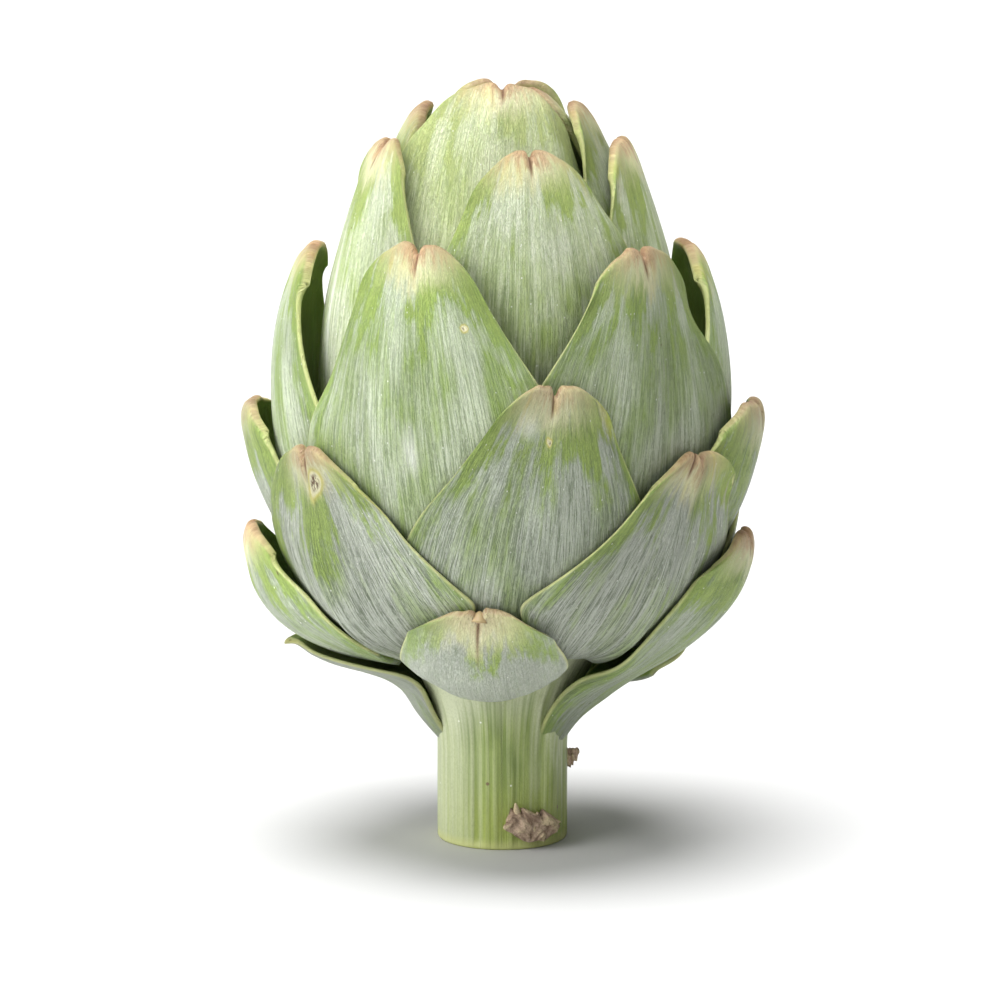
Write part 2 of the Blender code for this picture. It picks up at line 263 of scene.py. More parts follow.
def cap(across):
    """How far an end's outline has fallen away, from 0 at its middle to 1 at its corners.

    A quarter of a rounded square, so that it meets the leaf's sides with no corner.
    """
    return 1 - np.sqrt(1 - np.abs(across) ** CORNER_POWER)


def blade(bract, across, along, widen=0.0, ragged=0.0):
    """The inner face of a leaf, and the direction square to it, as two grids of vectors.

    Along the leaf the midrib is a Bezier curve in the plane of its azimuth. Across it the leaf
    is an arc of the cup radius, square to the midrib, that bends back towards the head. The
    corners of both ends and the notch are pulled back along the leaf, most at the end itself,
    and the last few millimetres roll inwards.
    """
    family, midrib = bract.family, midrib_of(bract)
    across, along = across[:, None], along[None, :]
    length = length_of(midrib)
    corner = TIP_CAP * cap(across) + family.notch * bump(across, NOTCH_WIDTH) + ragged
    corner = corner + SADDLE_DEPTH * bump(across, SADDLE_WIDTH)
    share = along - corner / length * along**END_POWER
    share = share + BASE_CAP * cap(across) / length * (1 - along) ** END_POWER
    t = even_steps(midrib, share)
    spine = bernstein(midrib, t)
    nudge = 1e-3
    heading = bernstein(midrib, t + nudge) - bernstein(midrib, t - nudge)
    heading /= np.linalg.norm(heading, axis=-1, keepdims=True)
    out, right = bearings(bract.azimuth + bract.lean * share**2)
    up = np.array([0.0, 0.0, 1.0])
    normal = heading[..., 1:] * out - heading[..., :1] * up
    cup = bernstein(family.cup, share)
    turn = across * bernstein(family.widths, share) * (1 + widen) / cup
    square = np.cos(turn)[..., None] * normal + np.sin(turn)[..., None] * right
    roll = TIP_ROLL * (1 - (1 - along) * length / ROLL_LENGTH).clip(0) ** 2
    face = (spine[..., :1] * out + spine[..., 1:] * up
            + (cup * np.sin(turn))[..., None] * right
            - (cup * (1 - np.cos(turn)))[..., None] * normal
            - roll[..., None] * square)
    return face, square


# %% [markdown]
# ## Pressing a leaf out
# Each leaf has to lie on the ones inside it without cutting into them. A collision solver or a
# Shrinkwrap modifier could do it, but both lose the leaf's own smooth shape. Instead the head is
# seen from its middle: for every direction, the script remembers how far out the leaves laid so
# far reach. A new leaf is moved outwards by a smooth spline sheet, raised only where it falls
# short.

# %% How far out the leaves reach
def rays(points):
    """The ray from the axis that each point is on: its slope number, length and direction.

    Above the lowest ray of the head's centre the rays fan out from that centre. Below it they
    stay parallel and start from the axis further down, so that leaf bases stack up sideways.
    """
    radius = np.hypot(points[..., 0], points[..., 1])
    height = points[..., 2] - HEAD_CENTRE
    drop = np.minimum(height + RAY_DROP * radius, 0)
    slope = np.degrees(np.arctan2(radius, height - drop)) - drop
    away = points - np.stack([0 * drop, 0 * drop, HEAD_CENTRE + drop], axis=-1)
    distance = np.linalg.norm(away, axis=-1)
    return slope, distance, away / distance[..., None]


def resampled(grid, factor):
    """The grid with factor times as many points each way, in straight lines between its own."""
    for axis in (0, 1):
        count = grid.shape[axis]
        places = np.linspace(0, count - 1, (count - 1) * factor + 1)
        low = np.minimum(places.astype(int), count - 2)
        share = (places - low).reshape((-1, 1, 1) if axis == 0 else (1, -1, 1))
        grid = np.take(grid, low, axis) * (1 - share) + np.take(grid, low + 1, axis) * share
    return grid


CELLS_PER_DEGREE = 2
HALF_CELLS = 420
PUSH_KNOTS = 8, 12       # of the sheet that moves a leaf out, across and along
PUSH_ROUNDS = 14
PUSH_STEP = 2            # how much more than it asks for each knot rises
reach = np.zeros((2 * HALF_CELLS + 1, 2 * HALF_CELLS + 1))


def cells(points):
    """Each point's cell on a flat disc of rays, with the crown in its middle, and its distance."""
    slope, distance, _ = rays(points)
    turn = np.arctan2(points[..., 1], points[..., 0])
    column = np.rint(slope * np.cos(turn) * CELLS_PER_DEGREE).astype(int) + HALF_CELLS
    row = np.rint(slope * np.sin(turn) * CELLS_PER_DEGREE).astype(int) + HALF_CELLS
    return column, row, distance


def lay(points):
    """Records how far out a piece reaches, each point spread over the cells next to its own."""
    column, row, distance = cells(points)
    piece = np.zeros_like(reach)
    np.maximum.at(piece, (column, row), distance)
    wide = np.pad(piece, 1)
    spread = [wide[a:a + len(piece), b:b + len(piece)] for a in range(3) for b in range(3)]
    np.maximum(reach, np.max(spread, axis=0), out=reach)


def pressed_out(inner, across, along):
    """The inner face moved out along the rays until it just clears what it lies on.

    The push is a spline sheet of few knots. Each round measures how far every point still
    falls short, and each knot rises by the most that any point near it asks for.
    """
    sideways = spline_weights(across / 2 + 0.5, PUSH_KNOTS[0])
    lengthwise = spline_weights(along, PUSH_KNOTS[1])
    direction = rays(inner)[2]
    knots = np.zeros(PUSH_KNOTS)
    for _ in range(PUSH_ROUNDS):
        moved = inner + direction * (sideways @ knots @ lengthwise.T)[..., None]
        column, row, distance = cells(moved)
        short = (reach[column, row] + GAP - distance).clip(0)
        asked = (short[:, :, None] * sideways[:, None, :]).max(axis=0)
        knots += PUSH_STEP * (asked[:, :, None] * lengthwise[:, None, :]).max(axis=0)
    return inner + direction * (sideways @ knots @ lengthwise.T)[..., None]


# %% [markdown]
# ## From points to a closed mesh
# A leaf has an inner and an outer skin that meet at the rim. Solidify could thicken one skin,
# but it gives a square edge. Here both skins are worked out, and they share the points of the
# rim, so the shell is closed and its edge is round. Beside the points, each leaf stores what its
# finish needs: how far every point is from the rim and from the tip, and which skin it is on.

# %% Grids to meshes
def mesh_piece(name, points, faces, finish, uv=None, layers=None):
    """A smooth mesh object from points in millimetres, with its pattern map and point layers."""
    mesh = bpy.data.meshes.new(name)
    mesh.from_pydata((points * MM).tolist(), [], faces)
    if uv is not None:
        corners = np.zeros(len(mesh.loops), int)
        mesh.loops.foreach_get("vertex_index", corners)
        mesh.uv_layers.new(name="Blade").uv.foreach_set("vector", uv[corners].ravel())
    for layer, values in (layers or {}).items():
        mesh.attributes.new(layer, "FLOAT", "POINT").data.foreach_set("value", values)
    mesh.shade_smooth()
    mesh.materials.append(finish)
    mesh.validate()
    piece = bpy.data.objects.new(name, mesh)
    bpy.context.scene.collection.objects.link(piece)
    return piece


def quads(index, wrap=False):
    """The four corners of every square of a grid of point numbers."""
    if wrap:
        index = np.concatenate([index, index[:1]])
    return np.stack([index[:-1, :-1], index[1:, :-1], index[1:, 1:], index[:-1, 1:]],
                    axis=-1).reshape(-1, 4)


def cut_from(faces, corners):
    """The same faces, but a quad that holds a corner is cut in two from that corner.

    Cut the other way, the quads of both skins would share one edge, from rim to rim.
    """
    cut = []
    for face in faces:
        place = next((k for k, point in enumerate(face) if point in corners), None)
        if place is None:
            cut.append(face)
            continue
        first, second, third, fourth = face[place:] + face[:place]
        cut += [[first, second, third], [first, third, fourth]]
    return cut


def shell(inner, outer):
    """Points and outward faces of a closed shell between two skins that share their rim."""
    count = inner.shape[0] * inner.shape[1]
    outside = np.arange(count).reshape(inner.shape[:2])
    inside = outside.copy()
    middle = inside[1:-1, 1:-1]
    inside[1:-1, 1:-1] = count + np.arange(middle.size).reshape(middle.shape)
    points = np.concatenate([outer.reshape(-1, 3), inner[1:-1, 1:-1].reshape(-1, 3)])
    faces = np.concatenate([quads(outside), quads(inside)[:, ::-1]]).tolist()
    corners = {int(outside[row, column]) for row in (0, -1) for column in (0, -1)}
    return points, cut_from(faces, corners), outside, inside


# %% [markdown]
# ## The thickness and the small relief of a leaf
# A bract is fleshy at its midrib and thin at its rim. Its outer skin has fine ribs lengthwise
# and broad hollows that a hand can feel. Its very tip is swollen into two small cushions, with
# a furrow between them where the thorn used to be. All of that could be sculpted by hand on
# one leaf, but not evenly on thirty-three. So it is added here square to the blade, in real
# millimetres, and it shows in the mesh and not only in the finish.

# %% The two skins of a leaf
RIM_ROUND = 0.5          # how far in from the edge the rim is rounded
TIP_ROUND = 0.8          # how much further at the tip
TIP_SWELL = 1.15
CUSHION = 4.2            # how far back from the tip the swelling reaches
FURROW_DEPTH = 0.75
FURROW_WIDTH = 0.55
KEEL_HEIGHT = 1.4
KEEL_WIDTH = 1.8
KEEL_END = 0.85          # as a share of the leaf's length, after a fade of KEEL_FADE
KEEL_FADE = 0.3
CALM_RIM = 3.0           # how far in from the edge the relief reaches its full height
HOLLOWS = 6, 9, 0.25     # knots across, knots along and height of the broad unevenness
COARSE_RIBS, FINE_RIBS = (30, 6, 0.08), (54, 14, 0.05)
KEELS = {"skirt_bract_4": -1.5, "skirt_bract_5": 1.0}     # how far aside of the midrib


def distances(inner):
    """How far each point of a skin is from its nearer side, tip and base, and how far aside.

    Aside is measured from the midrib, and is below 0 on the left.
    """
    sideways = np.linalg.norm(np.diff(inner, axis=0), axis=-1)
    from_left = np.concatenate([0 * sideways[:1], np.cumsum(sideways, axis=0)])
    lengthwise = np.linalg.norm(np.diff(inner, axis=1), axis=-1)
    from_base = np.concatenate([0 * lengthwise[:, :1], np.cumsum(lengthwise, axis=1)], axis=1)
    return (np.minimum(from_left, from_left[-1:] - from_left),
            from_base[:, -1:] - from_base, from_base, from_left - from_left[-1:] / 2)


def keel(bract, aside, along):
    """A blunt ridge down the lower leaf: a bell curve across, fading out towards the tip."""
    if bract.name not in KEELS:
        return 0 * aside
    fade = ((KEEL_END - along) / KEEL_FADE).clip(0, 1)
    return KEEL_HEIGHT * fade * bump(aside - KEELS[bract.name], KEEL_WIDTH)


def two_skins(bract, inner, square, rng):
    """The inner and outer skins: the blade moved along its square direction.

    The thickness is the family's at the midrib and thins to the rim's share at the edges, and
    the tip swells into two cushions with a furrow between them. Near the rim both skins close
    on their middle along a quarter circle.
    """
    across, along = ACROSS[:, None], ALONG[None, :]
    to_side, to_tip, to_base, aside = distances(inner)
    edge = np.minimum(np.minimum(to_side, to_tip), to_base)
    near_tip = bump(to_tip, CUSHION)
    round_over = RIM_ROUND + TIP_ROUND * near_tip
    rounding = np.sqrt(1 - (1 - (edge / round_over).clip(0, 1)) ** 2)
    thick = bract.family.thickness * (RIM + (1 - RIM) * (1 - across**2) * (1 - along**4))
    thick = thick + TIP_SWELL * near_tip
    furrow = FURROW_DEPTH * bump(aside, FURROW_WIDTH) * near_tip
    calm = (edge / CALM_RIM).clip(0, 1)
    hollows = uneven(rng, ACROSS, ALONG, *HOLLOWS)
    ribs = uneven(rng, ACROSS, ALONG, *COARSE_RIBS) + uneven(rng, ACROSS, ALONG, *FINE_RIBS)
    relief = ribs * calm + keel(bract, aside, along) - furrow
    middle = inner + square * (thick / 2 + hollows * calm)[..., None]
    half = (thick * rounding / 2)[..., None]
    return middle - square * half, middle + square * (half + relief[..., None] * rounding[..., None])


# %% [markdown]
# ## Thorns and stalk ends
# The outermost leaves still have a soft thorn in the cleft of the tip, and a leaf that was
# pulled off has left a torn stub on the stem. A cone primitive would be too regular and too
# sharp. Each is a stack of small circles along a line, that gets thinner as a bullet does.

# %% A tapering stalk
ASLANT = 0.37, 0.21, 0.9       # any direction that no stalk runs in
BLUNT_END = 0.985              # the share of the way at which a stalk stops


def fanned(rings):
    """Points and faces of a closed tube: quads round it and a fan of triangles at each end."""
    sides, count = rings.shape[:2]
    index = np.arange(sides * count).reshape(sides, count)
    nexts = np.roll(index, -1, axis=0)
    first = np.full(sides, sides * count)
    bottom = np.stack([nexts[:, 0], index[:, 0], first], axis=1)
    top = np.stack([index[:, -1], nexts[:, -1], first + 1], axis=1)
    ends = [rings[:, 0].mean(axis=0), rings[:, -1].mean(axis=0)]
    points = np.concatenate([rings.reshape(-1, 3), ends])
    return points, quads(index, wrap=True).tolist() + bottom.tolist() + top.tolist()


def stalk(start, end, girth, lift=0.0, sides=16, count=12):
    """Circles square to the line from start to end.

    Their radius is the girth times the square root of what is left of the way, and their
    centres rise by lift times the share of the way squared.
    """
    start, end = np.array(start, float), np.array(end, float)
    ahead = (end - start) / np.linalg.norm(end - start)
    first = np.cross(ahead, ASLANT)
    first /= np.linalg.norm(first)
    second = np.cross(ahead, first)
    share = np.linspace(0, BLUNT_END, count)[None, :, None]
    turn = np.linspace(0, 2 * np.pi, sides, endpoint=False)[:, None, None]
    centre = start + (end - start) * share + np.array([0, 0, lift]) * share**2
    return centre + (np.cos(turn) * first + np.sin(turn) * second) * girth * np.sqrt(1 - share)


def joined(pieces):
    """Several (points, faces) pairs as one pair, with the point numbers moved on."""
    points, faces, count = [], [], 0
    for some_points, some_faces in pieces:
        points.append(some_points)
        faces += [[corner + count for corner in face] for face in some_faces]
        count += len(some_points)
    return np.concatenate(points), faces


# %% [markdown]
# ## Building a finish
# A finish is a small tree of shader nodes. They could be placed by hand in the shader editor.
# Wired up in code, the same tree serves every ring of leaves with its own colours. The helper
# below keeps each step to one line. All patterns read the leaf's own map, which is in
# millimetres along and across the fibres, or a layer stored on the points, so they bend with
# the leaf and have their real size.

# %% Colours and a short hand for nodes
def tint(red, green, blue):
    """A colour given by its three screen values, from 0 to 255, as the shader's linear one."""
    value = np.array([red, green, blue]) / 255
    linear = np.where(value <= 0.04045, value / 12.92, ((value + 0.055) / 1.055) ** 2.4)
    return (*linear.tolist(), 1.0)


class Nodes:
    """A material, and short calls that add wired nodes to its tree."""

    def __init__(self, name):
        self.material = bpy.data.materials.new(name)
        self.material.use_nodes = True
        self.tree = self.material.node_tree
        self.shader = self.tree.nodes["Principled BSDF"]

    def put(self, value, socket):
        if isinstance(value, bpy.types.NodeSocket):
            self.tree.links.new(value, socket)
        else:
            socket.default_value = value

    def node(self, kind, output, settings=None, **inputs):
        made = self.tree.nodes.new(kind)
        for key, value in (settings or {}).items():
            setattr(made, key, value)
        for key, value in inputs.items():
            self.put(value, made.inputs[key.replace("_", " ")])
        return made.outputs[output]

    def layer(self, name):
        return self.node("ShaderNodeAttribute", "Fac", {"attribute_name": name})

    def math(self, operation, *values):
        made = self.tree.nodes.new("ShaderNodeMath")
        made.operation = operation
        for value, socket in zip(values, made.inputs):
            self.put(value, socket)
        return made.outputs[0]

    def sum(self, *values):
        return reduce(lambda total, value: self.math("ADD", total, value), values)

    def product(self, *values):
        return reduce(lambda total, value: self.math("MULTIPLY", total, value), values)

    def held(self, value, top):
        """The value, but never below 0 or above the top."""
        return self.math("MINIMUM", self.math("MAXIMUM", value, 0.0), top)

    def ramp(self, value, low, high, bottom=0.0, top=1.0):
        """From bottom to top, smoothly, as the value goes from low to high."""
        return self.node("ShaderNodeMapRange", "Result", {"interpolation_type": "SMOOTHSTEP"},
                         Value=value, From_Min=low, From_Max=high, To_Min=bottom, To_Max=top)

    def swing(self, field, most):
        """From minus the most to the most, as a noise field crosses its middle values."""
        return self.ramp(field, 0.3, 0.7, -most, most)

    def noise(self, vector, scale, shift=0.0, detail=2.0, rough=0.5, warp=0.0):
        """Noise with its own scale each way: features per millimetre across and along."""
        moved = self.node("ShaderNodeMapping", "Vector", Vector=vector, Scale=(*scale, 1.0),
                          Location=(shift, shift / 3, 0.0))
        return self.node("ShaderNodeTexNoise", "Fac", Vector=moved, Scale=1.0, Detail=detail,
                         Roughness=rough, Distortion=warp)

    def lines(self, field, width):
        """Thin lines, where a noise field crosses its middle value."""
        off = self.math("ABSOLUTE", self.math("SUBTRACT", field, 0.5))
        return self.ramp(off, 0.0, width, 1.0, 0.0)

    def bell(self, value, width):
        """1 where the value is 0, falling away to 0 at two widths on both sides."""
        return self.ramp(self.math("ABSOLUTE", value), 0.0, 2 * width, 1.0, 0.0)

    def dots(self, vector, scale, size, share):
        """Round dots in a share of the cells of a Voronoi pattern."""
        moved = self.node("ShaderNodeMapping", "Vector", Vector=vector, Scale=(scale, scale, 1.0))
        cell = self.tree.nodes.new("ShaderNodeTexVoronoi")
        cell.inputs["Scale"].default_value = 1.0
        self.put(moved, cell.inputs["Vector"])
        apart = self.node("ShaderNodeSeparateColor", "Red", Color=cell.outputs["Color"])
        return self.product(self.ramp(cell.outputs["Distance"], 0.6 * size, size, 1.0, 0.0),
                            self.ramp(apart, 1 - share, 1 - share + 0.02))

    def blend(self, share, below, above, mode="MIX"):
        made = self.tree.nodes.new("ShaderNodeMix")
        made.data_type = "RGBA"
        made.blend_type = mode
        self.put(share, made.inputs[0])
        self.put(below, made.inputs[6])
        self.put(above, made.inputs[7])
        return made.outputs[2]

    def coats(self, colour, *coats):
        """Colours laid over each other in turn, each as far as its own share says."""
        for share, coat in coats:
            colour = self.blend(share, colour, coat)
        return colour

    def finish(self, colour, roughness, height, bump, depth):
        self.put(colour, self.shader.inputs["Base Color"])
        self.put(roughness, self.shader.inputs["Roughness"])
        normal = self.node("ShaderNodeBump", "Normal", Height=height, Strength=bump, Distance=depth)
        self.put(normal, self.shader.inputs["Normal"])
        return self.material


# %% [markdown]
# ## The finish of a leaf
# An artichoke leaf is green flesh under a grey, waxy bloom that rubs off. The bloom lies in
# patches, thins out along the fibres and is worn away towards the tip and the margins. Under it
# run dark, hair-thin veins, crossed by small wrinkles, and on it sit tiny white dots. The tip
# has dried: tan cushions with brown specks, a brown slit between them, and a pale yellow saddle
# below. A paint-over would need an image; here each of those is one pattern, and they are laid
# over each other in the order in which they lie on the leaf.

# %% Leaf finish
Look = namedtuple("Look", "bloom flesh fresh streak inside bloom_share fresh_reach fresh_width "
                          "veined furrow tanned")
LAYERS = "edge", "to_tip", "outside", "aside", "tone", "dry", "pale"
TAN, SLIT_BROWN, SPECK_BROWN = tint(192, 156, 120), tint(120, 88, 62), tint(108, 84, 60)
SADDLE, YELLOWED, SCORCHED = tint(236, 232, 192), tint(208, 198, 100), tint(156, 118, 86)
MARGIN, TAN_MARGIN, DOT_WHITE = tint(208, 212, 148), tint(206, 180, 134), tint(238, 242, 230)
LEAF_ROUGHNESS = 0.45, 0.62                   # on the bare flesh and on the bloom


def leaf_finish(name, look):
    """The finish of one ring of leaves, from its Look: colours, and how far each thing reaches."""
    make = Nodes(name)
    ramp, swing, bell = make.ramp, make.swing, make.bell
    total, product, blend, coats = make.sum, make.product, make.blend, make.coats
    blade_map = make.node("ShaderNodeUVMap", "UV", {"uv_map": "Blade"})
    edge, to_tip, outside, aside, tone, dry, pale = (make.layer(layer) for layer in LAYERS)
    broad = make.noise(blade_map, (0.11, 0.045), 3, 2, 0.5, 0.4)
    mottle = make.noise(blade_map, (0.5, 0.2), 17, 4, 0.65, 0.3)
    streaks = make.noise(blade_map, (0.9, 0.03), 7, 3, 0.6)
    crinkle = make.noise(blade_map, (1.9, 1.0), 29, 3, 0.65, 0.5)
    hair = make.noise(blade_map, (1.5, 0.045), 41, 3, 0.6, 0.25)

    # where the bloom is, and where it has worn off
    worn = ramp(total(to_tip, swing(mottle, 5), swing(broad, 8)), 2.0, look.fresh_reach, 0.9, 0.0)
    worn = product(worn, bell(total(aside, swing(mottle, 2)), look.fresh_width))
    margin_worn = product(ramp(total(edge, swing(mottle, 2)), 0.5, 6.0, 0.5, 0.0),
                          bell(aside, look.fresh_width))
    waxy = total(look.bloom_share, swing(broad, 0.45), swing(mottle, 0.16), swing(streaks, 0.2))
    waxy = make.held(make.math("SUBTRACT", waxy, total(worn, margin_worn)), 1.0)
    colour = blend(waxy, blend(worn, look.flesh, look.fresh), look.bloom)

    # veins, strongest low on the leaf, wrinkles, strongest near the tip, and dots
    low_down = ramp(to_tip, 4, 32)
    veins = product(make.lines(hair, 0.05), ramp(crinkle, 0.35, 0.6, 0.35, 1.0),
                    ramp(low_down, 0.0, 1.0, 0.45, 1.0), look.veined)
    wide_veins = product(make.lines(streaks, 0.05), ramp(mottle, 0.4, 0.6), look.veined)
    creases = product(make.lines(crinkle, 0.05), ramp(low_down, 0.0, 1.0, 1.0, 0.55))
    brown_dots = product(make.dots(blade_map, 0.21, 0.07, 0.3), ramp(crinkle, 0.4, 0.5))
    colour = coats(colour,
                   (product(veins, 0.62), look.streak),
                   (product(wide_veins, 0.5), look.streak),
                   (product(creases, 0.28), look.streak),
                   (ramp(mottle, 0.62, 0.72, 0.0, 0.45), look.streak),
                   (product(make.dots(blade_map, 0.55, 0.11, 0.35), 0.7), DOT_WHITE),
                   (brown_dots, SPECK_BROWN),
                   (product(pale, 0.75), DOT_WHITE))

    # the margin, the pale saddle, the dried cushions, the slit, and spots that have dried
    rim = blend(product(ramp(to_tip, 3, 14, 1.0, 0.0), bell(aside, 7.0)), MARGIN, TAN_MARGIN)
    wander = total(to_tip, swing(mottle, 1.4))
    saddle = product(ramp(wander, 4.0, 10.0, 0.8, 0.0), bell(aside, 5.5))
    yellow = product(ramp(broad, 0.52, 0.68), ramp(wander, 3.0, 11.0, 0.4, 0.0))
    cushions = product(ramp(wander, 1.2, 5.4, look.tanned, 0.0), bell(aside, 5.5))
    parched = product(ramp(crinkle, 0.54, 0.62), ramp(wander, 1.0, 4.0, 0.6, 0.0), bell(aside, 4.0))
    scorched = product(ramp(edge, 0.1, 1.0, 0.75, 0.0), ramp(to_tip, 1.0, 4.5, 1.0, 0.0),
                       bell(aside, 7.0), ramp(mottle, 0.35, 0.6, 0.3, 1.0))
    slit = product(bell(aside, 0.28), ramp(to_tip, 2.5, look.furrow, 0.9, 0.0))
    dry_specks = product(ramp(dry, 0.55, 0.9), ramp(crinkle, 0.42, 0.52))
    colour = coats(colour, (ramp(edge, 0.2, 0.85, 0.8, 0.0), rim), (saddle, SADDLE),
                   (yellow, YELLOWED), (cushions, TAN), (parched, SPECK_BROWN),
                   (scorched, SCORCHED), (slit, SLIT_BROWN),
                   (ramp(dry, 0.15, 0.5, 0.0, 0.8), YELLOWED), (ramp(dry, 0.4, 0.65), SADDLE),
                   (dry_specks, SPECK_BROWN))

    # some parts of a leaf are lighter than others at random, and its lower part is darkened as painted
    # shade
    shade = make.noise(blade_map, (0.06, 0.025), 53, 2, 0.5, 0.3)
    # darker towards the base, deep between the overlapping leaves: painted shade
    shade = product(ramp(shade, 0.32, 0.68, 0.86, 1.08), ramp(to_tip, 20, 50, 1.0, 0.86))
    colour = blend(1.0, colour, shade, "MULTIPLY")

    # the inner skin has no bloom
    inner = coats(blend(ramp(streaks, 0.3, 0.7), look.inside, look.flesh),
                  (product(veins, 0.4), look.streak),
                  (ramp(to_tip, 0.5, 5.0, 0.6, 0.0), look.fresh),
                  (ramp(edge, 0.3, 1.2, 0.85, 0.0), rim))
    # the tone layer, partly the leaf's own and partly painted light and shade, multiplies both skins
    colour = blend(1.0, blend(outside, inner, colour), tone, "MULTIPLY")

    height = total(product(veins, -0.8), product(creases, -0.4), product(crinkle, 1.0),
                   product(hair, 1.0))
    for socket, value in (("Subsurface Weight", 0.1), ("Subsurface Scale", 0.002),
                          ("Subsurface Radius", (0.6, 1.0, 0.3)), ("Specular IOR Level", 0.4)):
        make.shader.inputs[socket].default_value = value
    return make.finish(colour, ramp(waxy, 0.0, 1.0, *LEAF_ROUGHNESS), height, 0.7, 0.0004)


GREEN = Look(bloom=tint(196, 206, 180), flesh=tint(144, 168, 92), fresh=tint(154, 176, 90),
             streak=tint(98, 118, 72), inside=tint(138, 158, 76), bloom_share=0.58, fresh_reach=14,
             fresh_width=90.0, veined=0.85, furrow=5.5, tanned=0.95)
LOOKS = {
    "crown_leaf": GREEN._replace(bloom=tint(206, 214, 176), flesh=tint(176, 190, 128),
                                 fresh=tint(180, 192, 122), streak=tint(124, 144, 88), veined=0.7),
    "upper_leaf": GREEN._replace(bloom=tint(208, 216, 188), flesh=tint(154, 174, 102),
                                 fresh=tint(162, 180, 98), streak=tint(114, 136, 80), veined=0.8),
    "shoulder_leaf": GREEN,
    "belly_leaf": GREEN._replace(bloom=tint(188, 196, 178), streak=tint(84, 102, 64),
                                 bloom_share=0.82, fresh_reach=19, veined=1.0, tanned=0.6),
    "skirt_leaf": GREEN._replace(bloom=tint(188, 194, 180), streak=tint(84, 100, 68),
                                 bloom_share=0.9, fresh_reach=20, veined=1.15, tanned=0.8),
    "collar_leaf": GREEN._replace(bloom=tint(176, 184, 166), bloom_share=0.75, fresh_reach=18,
                                  veined=1.0),
    "foot_leaf": GREEN._replace(bloom=tint(180, 186, 172), bloom_share=1.1, fresh_reach=13,
                                fresh_width=10.0, veined=0.4, furrow=13.0, tanned=0.35),
}
FINISHES = {name: leaf_finish(name, look) for name, look in LOOKS.items()}
FINISHES["bud_leaf"] = leaf_finish("bud_leaf", LOOKS["crown_leaf"])
print("leaf finishes:", len(FINISHES), "each of", len(FINISHES["crown_leaf"].node_tree.nodes), "nodes")

# %% [markdown]
# ## The finish of the stem
# The stem is fibrous: light and dark green lines run all the way up it. It is palest on the left,
# partly from its grey bloom and partly as painted light from the left, and the bloom also lies in
# patches on the right and high up under the leaves. Where it was cut, the skin has paled, and the
# cut face shows cream pith with a ring of small fibre bundles inside a green rind. The cut face has
# no fibres running up it, so it reads the object's own coordinates and the skin reads the map.

# %% Stem finish
def stem_finish(name):
    """The finish of the stem: its skin by the map, and the cut face by where it is."""
    make = Nodes(name)
    ramp, product, blend, coats = make.ramp, make.product, make.blend, make.coats
    place = make.node("ShaderNodeTexCoord", "Object")
    blade_map = make.node("ShaderNodeUVMap", "UV", {"uv_map": "Blade"})
    cut = make.layer("cut")
    apart = make.tree.nodes.new("ShaderNodeSeparateXYZ")
    make.put(place, apart.inputs[0])
    left, up = apart.outputs["X"], apart.outputs["Z"]
    broad = make.noise(blade_map, (0.16, 0.035), 5, 3, 0.6, 0.2)
    fibres = make.noise(blade_map, (1.1, 0.015), 9, 3, 0.6)
    hair = make.noise(blade_map, (2.2, 0.03), 13, 3, 0.6, 0.2)
    crinkle = make.noise(blade_map, (1.6, 0.9), 21, 3, 0.65, 0.4)
    dark_line = tint(92, 108, 56)
    # pale on the left side: partly bloom, partly painted light from the left; the patches on the right
    # and higher up are bloom
    bloom = make.sum(ramp(left, -0.0105, -0.0015, 0.65, 0.0), make.swing(fibres, 0.25),
                     product(ramp(broad, 0.52, 0.64), ramp(left, 0.002, 0.008, 0.0, 0.5)),
                     ramp(up, 0.018, 0.032, 0.0, 0.7))
    bloom = make.held(bloom, 0.9)
    colour = blend(ramp(broad, 0.38, 0.62), tint(106, 126, 56), tint(144, 160, 88))
    colour = coats(colour,
                   (ramp(fibres, 0.45, 0.7, 0.0, 0.3), tint(178, 188, 112)),
                   (product(make.lines(hair, 0.05), 0.3), dark_line),
                   (ramp(up, 0.003, 0.018, 0.55, 0.0), tint(168, 180, 84)),
                   (bloom, tint(198, 204, 172)),
                   (product(make.lines(crinkle, 0.04), 0.2), dark_line),
                   (product(make.dots(blade_map, 0.5, 0.11, 0.3), 0.7), DOT_WHITE),
                   (product(make.dots(blade_map, 0.17, 0.08, 0.3), 0.9), SPECK_BROWN),
                   (ramp(up, 0.0005, 0.0024, 0.7, 0.0), tint(196, 200, 132)))
    bundles = make.node("ShaderNodeTexVoronoi", "Distance", Vector=place, Scale=750.0)
    level = make.node("ShaderNodeVectorMath", "Vector", {"operation": "MULTIPLY"}, Vector=place)
    level.node.inputs[1].default_value = (1.0, 1.0, 0.0)
    radius = make.node("ShaderNodeVectorMath", "Value", {"operation": "LENGTH"}, Vector=level)
    pith = blend(ramp(radius, 0.005, 0.0102), tint(222, 218, 184), tint(186, 198, 128))
    bundle_dots = product(ramp(bundles, 0.1, 0.3, 0.6, 0.0), ramp(radius, 0.003, 0.007))
    pith = blend(bundle_dots, pith, tint(150, 158, 98))
    height = make.sum(product(fibres, 1.0), product(hair, 0.6), product(crinkle, 0.5))
    return make.finish(blend(cut, colour, pith), ramp(bloom, 0.0, 0.9, 0.42, 0.6), height,
                       0.6, 0.0003)


FINISHES["stem_skin"] = stem_finish("stem_skin")
